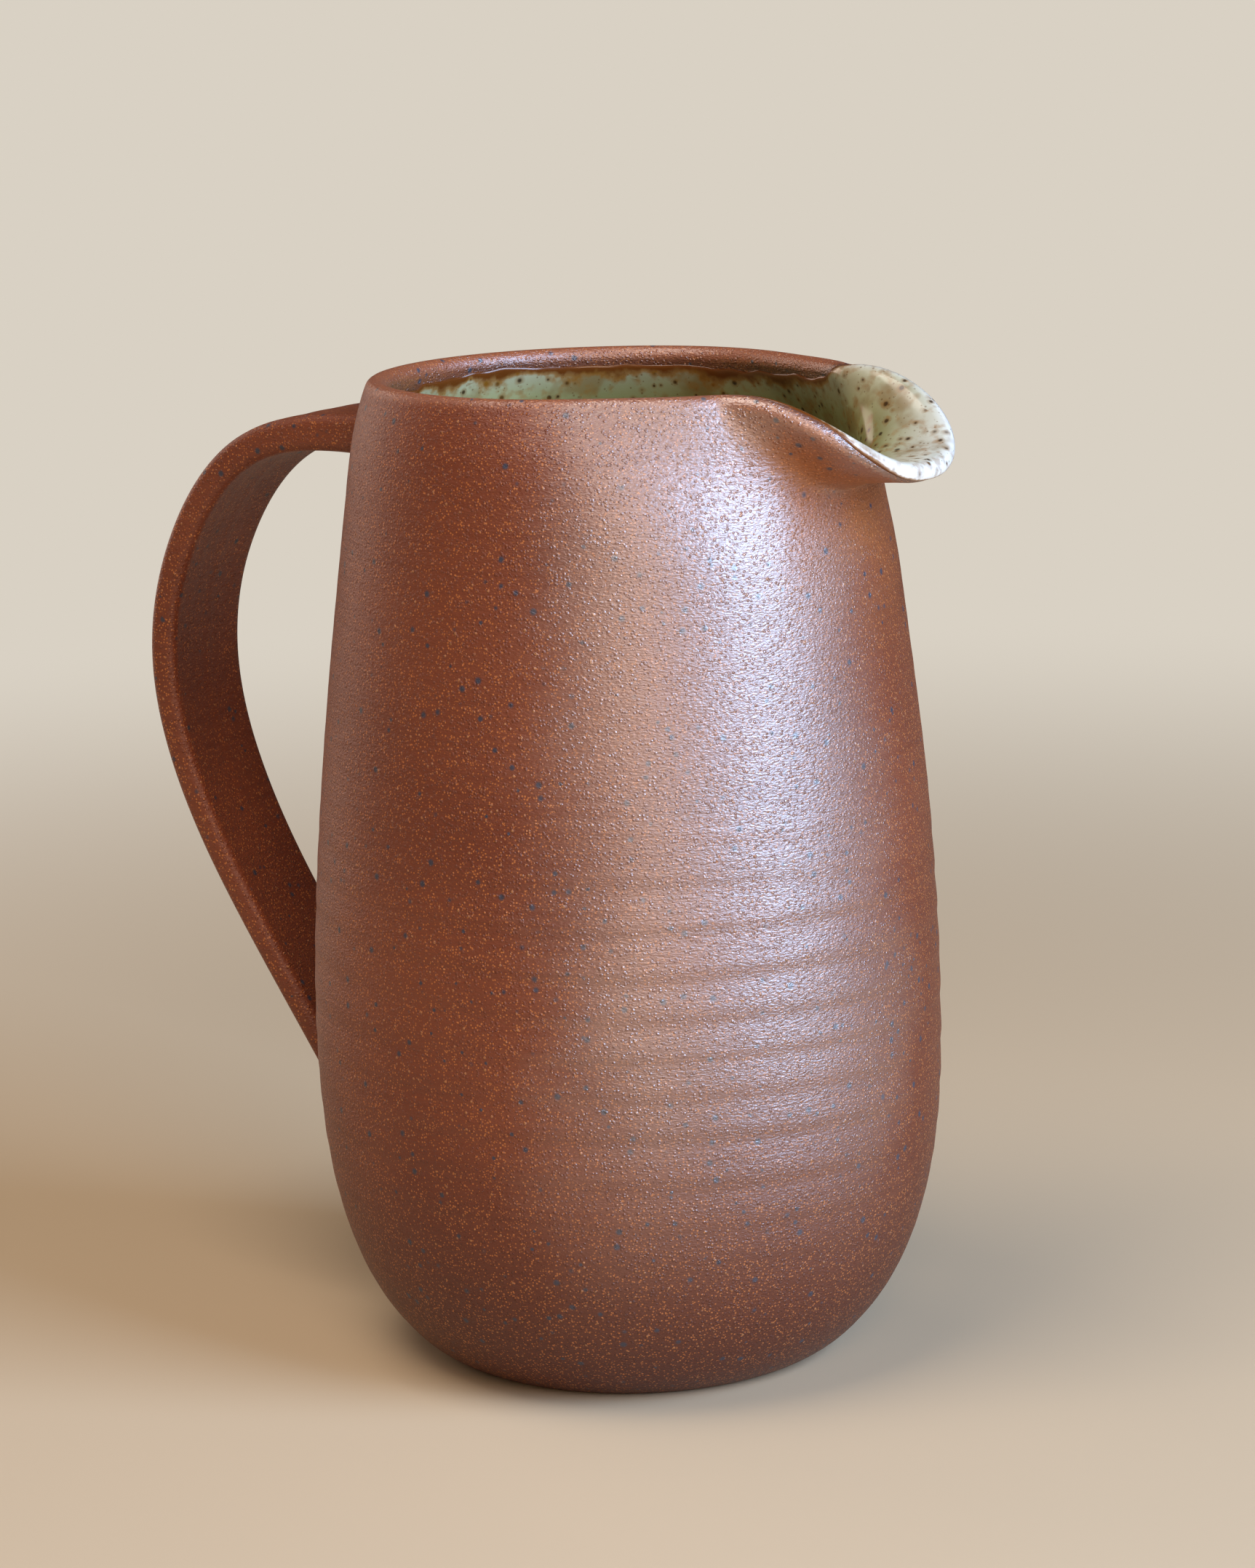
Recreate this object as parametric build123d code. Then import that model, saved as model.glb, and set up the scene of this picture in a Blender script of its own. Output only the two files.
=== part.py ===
from build123d import *
import os
from math import cos, exp, pi, radians, sin, sqrt

# A wheel-thrown stoneware pitcher with a pulled spout and a pulled strap handle.
# Sizes are millimetres. The origin is the centre of the flat foot, +Z is up, the
# spout points to +X and the handle to -X.

# ---------------------------------------------------------------- thrown wall
foot_radius = 41.0          # edge of the flat that stands on the table
heel_radius = 53.75         # where the foot has turned up into the side
flank_radius = 63.7
belly_radius = 69.0         # widest place of the pot
chest_radius = 66.2
shoulder_radius = 62.3
neck_radius = 59.0
rim_radius = 51.2           # centre line of the rounded rim
foot_to_heel = 9.8          # the wall's height is the sum of these steps
heel_to_flank = 19.6
flank_to_belly = 44.1
belly_to_chest = 53.8
chest_to_shoulder = 34.2
shoulder_to_neck = 26.5
neck_to_rim = 25.2          # up to the centre line of the rounded rim
foot_slope = 0.35           # rise over run where the wall leaves the foot
rim_slope = -2.5            # rise over run where the wall reaches the rim

rim_thickness = 4.6
heel_thickness = 7.0        # where the wall leaves the floor
thinning_rate = 5           # how quickly the wall thins above the heel
floor_thickness = 5.2
floor_radius = 20.0         # flat middle of the floor inside
floor_sweep = 4             # how tightly the wall turns into the floor

# --------------------------------------------------------------- pulled spout
spout_reach = 22.1          # how far the lip is drawn out past the rim
spout_drop = 15.6           # how far the tip is pressed down
spout_depth = 31.2          # height of wall that is drawn into the spout
spout_half_angle = 33.9     # the lip is back on the rim's circle here, degrees
drop_half_angle = 29.7      # and back at the rim's height here
reach_shape = (4.0, 2.2)    # flatness of the lip's front, softness of its corners
drop_shape = (2.8, 2.3)
reach_growth = 5.0          # the wall leans out late in its height
drop_growth = 1.8
spout_thinning = 0.14       # share of its thickness that the drawn lip loses
throat_pinch = 3.5          # how far finger and thumb press the throat in
throat_depth = 40.0         # height of wall that they press
throat_angle = 62.0         # where they press the rim, degrees from the spout
throat_foot_angle = 15.0    # and where the pressed hollow ends below
throat_spread = 22.5
pinch_growth = 1.5

# --------------------------------------------------------------------- handle
strap_width = 27.6
strap_thickness = 7.0
strap_corner = 1.8          # radius of the strap's rounded corners
strap_hollow = 0.7          # depth of the groove along its inner face
root_thickness = 9.2        # the strap is left thick where it leaves the neck
root_width = 34.0
root_taper = 8              # how soon it is down to its plain size
tail_thickness = 5.4        # and is pulled thinner towards its lower end
tail_taper = 3              # how late that happens
handle_reach = 43.6         # belly to the strap's middle at its outermost
upper_root_drop = 11.8      # rim down to the strap's middle
arch_inset = 24.6           # the strap's course, in from its outermost place
arch_drop = 17.2            # and down from the rim
turn_inset = 6.1
turn_drop = 39.2
grip_drop = 65.2
bend_inset = 8.6
bend_drop = 100.4
tail_inset = 30.6
tail_rise = 22.3            # above the lower root
lower_root_height = 52.0    # foot up to the strap's middle at its lower end
root_depth = 3.4            # how far the strap is pressed into the upper wall
tail_depth = 16.0           # and its slanting lower end into the lower wall

# ---------------------------------------------- luting clay at the strap's ends
joint_fillet = 3.4          # how far it spreads over the wall
joint_edge = 0.4            # the thickness to which it is wiped on the strap
upper_joint_length = 11.0
lower_joint_length = 17.0

# ---------------------------------------------------------------------- glaze
glaze_thickness = 0.5
bare_rim = 4.4              # unglazed clay inside the rim, measured from its crest
spout_overrun = 2.8         # the glaze goes this far over the spout's lip
glaze_half_angle = 31.0
glaze_shape = (3.0, 1.0)
glaze_key = 1.2             # the coat's blank reaches this far into the clay

# ------------------------------------------------------- fineness of the skins
angle_count = 56            # points round each ring
angle_crowding = 0.62       # crowds them at the spout
plain_count = 9             # rings up the wall to where the spout starts
plain_crowding = 1.5        # crowds them at the foot
drawn_count = 7             # rings from there to the rim
drawn_crowding = 1.6        # crowds them at the rim
floor_crowding = 1.5        # crowds the floor's rings at the wall
lip_count = 4               # rings over the rim
floor_count = 5             # rings over the floor
edge_count = 4              # rings round the glaze's edge
strap_count = 18            # sections along the handle
joint_count = 8             # sections along each joint
small = 1e-3                # step for slopes taken by differences

# ------------------------------------------------------------- derived heights
flank_height = foot_to_heel + heel_to_flank
belly_height = flank_height + flank_to_belly
chest_height = belly_height + belly_to_chest
shoulder_height = chest_height + chest_to_shoulder
neck_height = shoulder_height + shoulder_to_neck
rim_height = neck_height + neck_to_rim
lip_radius = rim_thickness / 2
lip_length = pi * lip_radius
rim_out = Vector(-rim_slope, 1).normalized()

# The outside of the thrown wall: x is the radius and y is the height.
outline = Spline(
    (foot_radius, 0),
    (heel_radius, foot_to_heel),
    (flank_radius, flank_height),
    (belly_radius, belly_height),
    (chest_radius, chest_height),
    (shoulder_radius, shoulder_height),
    (neck_radius, neck_height),
    (rim_radius + rim_out.X * lip_radius, rim_height + rim_out.Y * lip_radius),
    tangents=((1, foot_slope), (-1, -rim_slope)),
    tangent_scalars=(1, 1),
)
wall_length = outline.length


def clamp(value):
    return min(max(value, 0.0), 1.0)


def from_spout(angle):
    """The angle from the spout's middle, between -pi and pi."""
    return (angle + pi) % (2 * pi) - pi


def swell(angle, half_angle, shape):
    """A bump that is 1 in the spout's middle and 0 from half_angle on."""
    flatness, softness = shape
    share = clamp(abs(from_spout(angle)) / radians(half_angle))
    return (1 - share**flatness) ** softness


# ------------------------------------------------------------- the clay wall
def level_at(height):
    """The share of the wall's length at which its outside reaches a height."""
    low, high = 0.0, 1.0
    while high - low > small**2:
        level = (low + high) / 2
        low, high = (level, high) if (outline @ level).Y < height else (low, level)
    return low


def half_thickness(level):
    return (rim_thickness + (heel_thickness - rim_thickness) * (1 - level) ** thinning_rate) / 2


def wall_middle(level):
    """Middle of the wall as thrown, before the spout is pulled. Level runs from 0 to 1."""
    outside = outline @ level
    along = outline % level
    return outside - Vector(along.Y, -along.X) * half_thickness(level)


def worked(level, depth):
    """How far up the topmost depth of the wall a level lies, from 0 to 1."""
    return clamp((wall_middle(level).Y - rim_height + depth) / depth)


def pulled_middle(level, angle):
    """Middle of the wall once the spout is pulled and its throat pinched."""
    thrown = wall_middle(level)
    pressed = worked(level, throat_depth)
    drawn = worked(level, spout_depth)
    throat = radians(throat_foot_angle + (throat_angle - throat_foot_angle) * pressed)
    off_throat = (abs(from_spout(angle)) - throat) / radians(throat_spread)
    pinch = throat_pinch * exp(-(off_throat**2)) * pressed**pinch_growth
    reach = spout_reach * swell(angle, spout_half_angle, reach_shape) * drawn**reach_growth
    drop = spout_drop * swell(angle, drop_half_angle, drop_shape) * drawn**drop_growth
    radius = thrown.X + reach - pinch
    return Vector(radius * cos(angle), radius * sin(angle), thrown.Y - drop)


def wall_frame(level, angle):
    """Middle of the wall, outward direction, direction up across it, half thickness."""
    below = pulled_middle(max(level - small, 0), angle)
    above = pulled_middle(min(level + small, 1), angle)
    around = pulled_middle(level, angle + small) - pulled_middle(level, angle - small)
    outward = around.cross(above - below).normalized()
    drawn = worked(level, spout_depth)
    thinning = spout_thinning * swell(angle, spout_half_angle, reach_shape) * drawn
    half = half_thickness(level) * (1 - thinning)
    return pulled_middle(level, angle), outward, outward.cross(around.normalized()), half


def skin(travel, angle, lift):
    """A point lifted off the clay's surface.

    Travel is negative up the outside, 0 at the foot of the rim's rounding,
    lip_length where the rounding ends inside, and wall_length more at the floor.
    """
    over_lip = min(max(travel, 0), lip_length)
    level = 1 - (over_lip - travel if travel < 0 else travel - over_lip) / wall_length
    middle, outward, upward, half = wall_frame(level, angle)
    turn = over_lip / lip_radius
    return middle + (outward * cos(turn) + upward * sin(turn)) * (half + lift)


def ring(point_at):
    """A smooth closed curve round the pot through point_at(angle)."""
    steps = [i / angle_count for i in range(angle_count + 1)]
    points = []
    for step in steps[:-1]:
        points.append(point_at(2 * pi * step - angle_crowding * sin(2 * pi * step)))
    return Wire([Edge.make_spline(points, periodic=True, parameters=steps)])


def level_ring(radius, height):
    return ring(lambda angle: Vector(radius * cos(angle), radius * sin(angle), height))


def skin_ring(travel, lift=0.0):
    return ring(lambda angle: skin(travel, angle, lift))


def solid_through(*stretches):
    """The closed solid whose skin runs through stretches of rings, capped at both ends.

    Each stretch is lofted by itself and starts on the last ring of the one before.
    """
    faces = [Face(stretches[0][0]), Face(stretches[-1][-1])]
    for i, stretch in enumerate(stretches):
        joined = [stretches[i - 1][-1], *stretch] if i else stretch
        faces += Shell.make_loft(joined).faces()
    solid = Solid(Shell(faces))
    return solid if solid.volume > 0 else Solid(solid.wrapped.Reversed())


def floor_rings(lift=0.0):
    """Rings from the foot of the inner wall to the floor's flat middle."""
    edge = skin(lip_length + wall_length, pi, lift)
    rings = []
    for i in range(1, floor_count + 1):
        share = (i / floor_count) ** floor_crowding
        radius = -edge.X + (floor_radius + edge.X) * share
        middle_height = floor_thickness + lift
        sweep = (edge.Z - middle_height) * (1 - share) ** floor_sweep
        rings.append(level_ring(radius, middle_height + sweep))
    return rings


def wall_levels():
    """The levels of the rings up the wall, above the foot."""
    start = level_at(rim_height - spout_depth)
    levels = []
    for i in range(1, plain_count + 1):
        levels.append(start * (i / plain_count) ** plain_crowding)
    for i in range(1, drawn_count + 1):
        levels.append(1 - (1 - start) * (1 - i / drawn_count) ** drawn_crowding)
    return levels


def make_body():
    levels = wall_levels()
    foot = level_ring(foot_radius, 0)
    outside = [skin_ring((level - 1) * wall_length) for level in levels]
    over_lip = [skin_ring(lip_length * i / lip_count) for i in range(1, lip_count + 1)]
    down = [1 - level for level in reversed([0, *levels[:-1]])]
    inside = [skin_ring(lip_length + level * wall_length) for level in down]
    return solid_through([foot, *outside], over_lip, inside, floor_rings())


def make_core():
    """The inside of the pot out to the middle of its wall, to trim what is pressed in."""
    levels = [0, *wall_levels()]
    middles = [wall_middle(level) for level in levels]
    side = Spline([(middle.X, middle.Y) for middle in middles])
    foot, top = middles[0], middles[-1]
    rest = Polyline((top.X, top.Y), (0, top.Y), (0, foot.Y), (foot.X, foot.Y))
    half_section = make_face([side, rest])
    return revolve(half_section.rotate(Axis.X, 90), Axis.Z)


# --------------------------------------------------------------------- glaze
def glaze_edge(angle):
    """Travel at which the coat starts: below the rim inside, or over the spout's lip."""
    inside = lip_length / 2 + bare_rim
    over_spout = lip_length / 2 - spout_overrun
    return inside + (over_spout - inside) * swell(angle, glaze_half_angle, glaze_shape)


def make_liner_glaze(body):
    end = lip_length + wall_length
    edge_radius = (glaze_thickness + glaze_key) / 2
    edge_lift = (glaze_thickness - glaze_key) / 2

    def coat_ring(share, lift):
        def point(angle):
            start = glaze_edge(angle) + edge_radius
            return skin(start + share * (end - start), angle, lift)

        return ring(point)

    def edge_ring(turn):
        def point(angle):
            travel = glaze_edge(angle) + edge_radius * (1 - sin(turn))
            return skin(travel, angle, edge_lift - edge_radius * cos(turn))

        return ring(point)

    shares = [1 - level for level in reversed([0, *wall_levels()])]
    under_floor = [*reversed(floor_rings(-glaze_key)), coat_ring(1, -glaze_key)]
    keyed = [coat_ring(share, -glaze_key) for share in reversed(shares[:-1])]
    edge = [edge_ring(pi * i / edge_count) for i in range(1, edge_count)]
    edge.append(coat_ring(0, glaze_thickness))
    shown = [coat_ring(share, glaze_thickness) for share in shares[1:]]
    return solid_through(under_floor, keyed, edge, shown, floor_rings(glaze_thickness)) - body


# -------------------------------------------------------------------- handle
def wall_radius(height):
    """Outer radius of the thrown wall at a height."""
    return (outline @ level_at(height)).X


grip_radius = belly_radius + handle_reach
upper_root_height = rim_height - upper_root_drop
tail = Vector(grip_radius - tail_inset, lower_root_height + tail_rise)
lower_root = Vector(wall_radius(lower_root_height), lower_root_height)
tail_way = (lower_root - tail).normalized()
tail_end = lower_root + tail_way * tail_depth

# The middle of the strap: x is the distance from the pot's axis, y is the height.
strap_course = Spline(
    (wall_radius(upper_root_height) - root_depth, upper_root_height),
    (grip_radius - arch_inset, rim_height - arch_drop),
    (grip_radius - turn_inset, rim_height - turn_drop),
    (grip_radius, rim_height - grip_drop),
    (grip_radius - bend_inset, rim_height - bend_drop),
    (tail.X, tail.Y),
    (tail_end.X, tail_end.Y),
    tangents=((1, 0), (tail_way.X, tail_way.Y)),
    tangent_scalars=(1, 1),
)


def strap_size(share):
    """Width and thickness of the strap at a share of its course."""
    near_root = (1 - share) ** root_taper
    near_tail = share**tail_taper
    width = strap_width + (root_width - strap_width) * near_root
    thicker = (root_thickness - strap_thickness) * near_root
    thinner = (strap_thickness - tail_thickness) * near_tail
    return width, strap_thickness + thicker - thinner


def strap_section(share, growth=0.0):
    """The strap's outline across its course, grown on all sides for a fillet.

    It is a rectangle with rounded corners, grooved along its inner face.
    """
    centre = strap_course @ share
    along = strap_course % share
    width, thickness = strap_size(share)
    side = width / 2 + growth
    face = thickness / 2 + growth
    corner = strap_corner + growth
    arc_middle = corner * (1 - 1 / sqrt(2))

    def place(across, out):
        flat = centre + Vector(-along.Y, along.X) * out
        return Vector(-flat.X, across, flat.Y)

    def rounded(across_sign, out_sign):
        """The ends and the middle of a corner: on the face, between, on the side."""
        return (
            place(across_sign * (side - corner), out_sign * face),
            place(across_sign * (side - arc_middle), out_sign * (face - arc_middle)),
            place(across_sign * side, out_sign * (face - corner)),
        )

    far_out, far_in = rounded(1, 1), rounded(1, -1)
    near_out, near_in = rounded(-1, 1), rounded(-1, -1)
    groove = place(0, strap_hollow - face)
    edge_way = Vector(0, -1, 0)
    edges = [
        Edge.make_line(near_out[0], far_out[0]),
        Edge.make_three_point_arc(far_out[0], far_out[1], far_out[2]),
        Edge.make_line(far_out[2], far_in[2]),
        Edge.make_three_point_arc(far_in[2], far_in[1], far_in[0]),
        Edge.make_spline([far_in[0], groove, near_in[0]], tangents=[edge_way, edge_way]),
        Edge.make_three_point_arc(near_in[0], near_in[1], near_in[2]),
        Edge.make_line(near_in[2], near_out[2]),
        Edge.make_three_point_arc(near_out[2], near_out[1], near_out[0]),
    ]
    return Wire(edges)


def make_strap():
    return solid_through([strap_section(i / strap_count) for i in range(strap_count + 1)])


def make_joint(root, way, length, strap, body, core):
    """Luting clay round an end of the strap: thick on the wall, wiped thin on the strap.

    Root is the share of the course where the strap meets the wall, and way is 1 or
    -1, along or against the course, into the open.
    """
    sections = []
    for i in range(joint_count + 1):
        out = i / joint_count
        share = clamp(root + way * (2 * out - 1) * length / strap_course.length)
        spread = (joint_fillet - joint_edge) * (1 - out) ** 2
        sections.append(strap_section(share, joint_edge + spread))
    return solid_through(sections) - strap - body - core


if __name__ == "__main__":
    os.makedirs("parts", exist_ok=True)
    body = make_body()
    core = make_core()
    strap = make_strap()
    upper_root = root_depth / strap_course.length
    lower_root_share = 1 - tail_depth / strap_course.length
    pieces = {
        "body": body,
        "liner_glaze": make_liner_glaze(body),
        "handle": strap - body - core,
        "upper_handle_joint": make_joint(upper_root, 1, upper_joint_length, strap, body, core),
        "lower_handle_joint": make_joint(lower_root_share, -1, lower_joint_length, strap, body, core),
    }
    for name, piece in pieces.items():
        export_step(piece, f"parts/{name}.step")
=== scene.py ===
from functools import lru_cache
from math import atan2, copysign, cos, exp, pi, radians, sin

import bmesh
import bpy
from mathutils import Matrix, Vector, noise


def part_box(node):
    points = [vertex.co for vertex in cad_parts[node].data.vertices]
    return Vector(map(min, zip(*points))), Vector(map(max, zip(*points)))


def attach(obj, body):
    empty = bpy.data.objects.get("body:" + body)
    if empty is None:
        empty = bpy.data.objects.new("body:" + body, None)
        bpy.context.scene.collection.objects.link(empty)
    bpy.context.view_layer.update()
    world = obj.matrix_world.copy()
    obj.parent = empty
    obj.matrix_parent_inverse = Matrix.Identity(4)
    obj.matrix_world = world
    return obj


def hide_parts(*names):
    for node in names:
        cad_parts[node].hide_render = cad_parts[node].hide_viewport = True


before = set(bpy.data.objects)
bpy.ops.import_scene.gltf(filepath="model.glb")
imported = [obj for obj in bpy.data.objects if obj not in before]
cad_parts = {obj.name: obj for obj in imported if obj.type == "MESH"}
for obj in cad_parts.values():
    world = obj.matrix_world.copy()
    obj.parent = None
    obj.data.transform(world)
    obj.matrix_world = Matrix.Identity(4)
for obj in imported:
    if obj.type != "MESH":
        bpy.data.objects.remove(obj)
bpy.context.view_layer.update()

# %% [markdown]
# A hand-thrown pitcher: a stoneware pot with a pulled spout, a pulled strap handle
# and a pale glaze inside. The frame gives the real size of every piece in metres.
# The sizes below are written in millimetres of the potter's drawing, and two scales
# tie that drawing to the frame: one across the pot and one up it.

body_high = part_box("body")[1]
handle_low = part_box("handle")[0]
drawn_belly = 69.0
drawn_height = 215.5
across = body_high.y / drawn_belly
upward = body_high.z / drawn_height
mm = (across + upward) / 2
print(f"metres for a drawn millimetre: {across:.6f} across, {upward:.6f} up")


# %% [markdown]
# The outline of a thrown wall is one easy curve, like a bent batten held by a few
# pins. Blender's Bezier handles could be set by hand, but a batten is smoother: its
# bend never jumps. The slopes at the pins are found by letting the batten relax.

# %% The batten and the wall's outline
relaxing_rounds = 80


def batten(pins, first_slope, last_slope):
    """A smooth curve through the pins: returns a function of a share from 0 to 1."""
    gaps = [(b - a).length for a, b in zip(pins, pins[1:])]
    steps = [b - a for a, b in zip(pins, pins[1:])]
    slopes = [first_slope.normalized(), *[Vector((0, 0))] * (len(pins) - 2), last_slope.normalized()]
    for _ in range(relaxing_rounds):
        for i in range(1, len(pins) - 1):
            before, after = gaps[i - 1], gaps[i]
            pull = 3 * (steps[i - 1] * after / before + steps[i] * before / after)
            pull -= slopes[i - 1] * after + slopes[i + 1] * before
            slopes[i] = pull / (2 * (before + after))
    length = sum(gaps)

    def at(share):
        left = min(max(share, 0), 1) * length
        i = 0
        while i < len(gaps) - 1 and left > gaps[i]:
            left -= gaps[i]
            i += 1
        gap, part = gaps[i], left / gaps[i]
        rise = 3 * part**2 - 2 * part**3
        start_pull = part * (1 - part) ** 2 * gap
        end_pull = part**2 * (1 - part) * gap
        return pins[i] + steps[i] * rise + slopes[i] * start_pull - slopes[i + 1] * end_pull

    return at, length


outline_pins = {
    "foot": (41.0, 0.0),
    "heel": (53.75, 9.8),
    "flank": (63.7, 29.4),
    "belly": (drawn_belly, 73.5),
    "chest": (66.2, 127.3),
    "shoulder": (62.3, 161.5),
    "neck": (59.0, 188.0),
    "rim": (53.33, 214.05),
}
slope_at_foot = Vector((1, 0.35))
slope_at_rim = Vector((-1, 2.5))
pins = [Vector((r * across, z * upward)) for r, z in outline_pins.values()]
outline, wall_length = batten(pins, slope_at_foot, slope_at_rim)
print(f"wall from foot to rim: {wall_length * 1000:.1f} mm")


# %% [markdown]
# The spout is not a part stuck on. While the clay is soft, finger and thumb pinch
# the throat and a wet finger draws the lip out and down between them. So it is made
# here the same way: a rule says where the middle of the wall goes when it is pulled,
# and the clay keeps its thickness on both sides of that middle.

# %% Sizes of the pulled wall
rim_thickness = 4.6
heel_thickening = 2.4           # more than that where the wall leaves the floor
rim_half = 2.3 * mm
rim_centre_height = 213.2 * upward
lip_length = pi * rim_half      # over the rounded lip, from outside to inside
spout_depth = 31.2 * upward     # height of wall that is drawn into the spout
spout_reach = 22.1 * across     # how far the lip is drawn out
spout_drop = 15.6 * upward      # and how far it is pressed down
spout_thinning = 0.14           # share of its thickness that the drawn lip loses
reach_shape = (37.5, 3.7, 3.0)  # half angle in degrees, flatness in front, softness of corners
drop_shape = (32.5, 2.7, 2.9)
thinning_shape = (33.9, 4.0, 2.2)
reach_growth = 5                # the wall leans out late in its height
drop_growth = 1.8
throat_depth = 40.0 * upward    # height of wall that finger and thumb press
throat_pinch = 3.5 * across
throat_foot = 15                # where the pressed hollow starts, degrees from the spout
throat_climb = 47               # how much further round it lies at the rim
throat_spread = 22.5
small_step = 1e-3               # of share or angle, to read a direction
print(f"the lip is drawn out {spout_reach * 1000:.1f} mm and down {spout_drop * 1000:.1f} mm")


# %% The pulled wall
def clamp(value):
    return min(max(value, 0.0), 1.0)


def from_spout(angle):
    return (angle + pi) % (2 * pi) - pi


def swell(angle, half_angle, flatness, softness):
    share = clamp(abs(from_spout(angle)) / radians(half_angle))
    return (1 - share**flatness) ** softness


@lru_cache(maxsize=None)
def half_thickness(level):
    return (rim_thickness + heel_thickening * (1 - level) ** 5) / 2 * mm


@lru_cache(maxsize=None)
def wall_middle(level):
    along = (outline(level + small_step) - outline(level - small_step)).normalized()
    return outline(level) - Vector((along.y, -along.x)) * half_thickness(level)


@lru_cache(maxsize=None)
def worked(level, depth):
    """How far up the topmost depth of the wall a level lies."""
    return clamp((wall_middle(level).y - rim_centre_height + depth) / depth)


def pulled_middle(level, angle):
    """The middle of the wall, once throat and lip are worked."""
    thrown = wall_middle(level)
    radius, height = thrown.x, thrown.y
    pressed = worked(level, throat_depth)
    drawn = worked(level, spout_depth)
    if pressed > 0:
        throat_angle = radians(throat_foot + throat_climb * pressed)
        off_throat = (abs(from_spout(angle)) - throat_angle) / radians(throat_spread)
        radius -= throat_pinch * exp(-(off_throat**2)) * pressed**1.5
    if drawn > 0:
        radius += spout_reach * swell(angle, *reach_shape) * drawn**reach_growth
        height -= spout_drop * swell(angle, *drop_shape) * drawn**drop_growth
    return Vector((radius * cos(angle), radius * sin(angle), height))


def skin(travel, angle, lift):
    """A point lifted off the clay: travel runs up the outside, over the lip, down the inside."""
    over_lip = min(max(travel, 0), lip_length)
    level = 1 - (over_lip - travel if travel < 0 else travel - over_lip) / wall_length
    level = round(clamp(level), 6)
    above, below = min(level + small_step, 1), max(level - small_step, 0)
    middle = pulled_middle(level, angle)
    up_wall = pulled_middle(above, angle) - pulled_middle(below, angle)
    around = pulled_middle(level, angle + small_step) - pulled_middle(level, angle - small_step)
    outward = around.cross(up_wall).normalized()
    upright = outward.cross(around.normalized())
    thinning = spout_thinning * swell(angle, *thinning_shape) * worked(level, spout_depth)
    half = half_thickness(level) * (1 - thinning)
    turn = over_lip / rim_half
    return middle + (outward * cos(turn) + upright * sin(turn)) * (half + lift)


tip = skin(lip_length / 2, 0.0, 0.0)
print(f"spout tip reaches {tip.x * 1000:.1f} mm, frame says {body_high.x * 1000:.1f} mm")


# %% [markdown]
# A hand-thrown wall is never a perfect turning. The fingers leave a shallow spiral
# of rings about nine millimetres apart, deepest round the lower belly, and the wall
# wanders a few tenths of a millimetre. Bump would not move the highlights' edges or
# the silhouette, so the rings are real: each point is pressed in by this rule.

# %% The marks of throwing
ring_pitch = 9.0 * mm
ring_depth = 0.35 * mm
ring_crest = 0.72               # share of the pitch over which a ring deepens
ring_height = 80 * upward       # where the rings are deepest
ring_reach = 40 * upward        # and how far above and below they die away
deep_side = radians(-38)        # the side on which the fingers pressed hardest
wander_depth = 0.45 * mm
ripple_depth = 0.05 * mm


def throwing_marks(height, angle):
    """How deep the fingers pressed the outside here."""
    place = Vector((cos(angle) * 1.3, sin(angle) * 1.3, height / (26 * mm)))
    turn = height / ring_pitch + angle / (2 * pi) + 0.3 * noise.noise(place * 0.8)
    part = turn % 1
    falling = 1 - (part - ring_crest) / (1 - ring_crest)
    ring = (part / ring_crest if part < ring_crest else falling) ** 1.3
    belly = exp(-(((height - ring_height) / ring_reach) ** 4))
    strength = (0.12 + 0.88 * belly) * (0.9 + 0.5 * noise.noise(place * 1.9 + Vector((7, 3, 1))))
    strength *= 0.6 + 0.4 * cos(angle - deep_side)
    wander = 0.5 + 0.5 * noise.noise(Vector((cos(angle), sin(angle), height / (55 * mm))) * 1.1)
    ripple = noise.noise(Vector((cos(angle) * 2, sin(angle) * 2, height / (3.4 * mm))))
    fade = clamp((rim_centre_height - height) / (22 * upward)) * clamp(height / (9 * upward))
    pressed = ring_depth * max(strength, 0) * ring + wander_depth * wander
    return fade * (pressed + ripple_depth * (1 + ripple))


print(f"deepest ring {ring_depth * 1000:.2f} mm, pitch {ring_pitch * 1000:.1f} mm")


# %% [markdown]
# A spin is what the potter's wheel does: half a section is drawn once and carried
# round the axis. Each point of the half section remembers how far along the clay it
# lies, and the spin copies that memory, so that the spout can be pulled afterwards.
# Until then the points of the wall wait in a stack, one thin row above the other.

# %% Helpers for spun pieces
FLAT = 9.0                      # marks points of foot and floor, which the spout never moves
round_steps = 300
outside_stack = 0.06            # radii at which the rows wait: outside, lip and inside of
lip_stack = 0.05                # the clay, and the front of the glaze
inside_stack = 0.04
front_stack = 0.045
stack_foot = 0.01
stack_step = 1e-5


def new_piece(name, mesh_data):
    piece = bpy.data.objects.new(name, mesh_data)
    bpy.context.scene.collection.objects.link(piece)
    return piece


def finish_mesh(clay, name):
    """Turn the bmesh into a smooth piece with its faces outwards."""
    bmesh.ops.recalc_face_normals(clay, faces=clay.faces[:])
    mesh_data = bpy.data.meshes.new(name)
    clay.to_mesh(mesh_data)
    clay.free()
    for face in mesh_data.polygons:
        face.use_smooth = True
    print(f"{name}: {len(mesh_data.polygons)} faces")
    return new_piece(name, mesh_data)


def stretch(start, end, spacing):
    count = max(2, round(abs(end - start) / spacing))
    return [start + (end - start) * i / count for i in range(count + 1)]


def wall_rows(travels, lift, radius):
    return [(travel, lift, radius, 0.0) for travel in travels]


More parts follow.
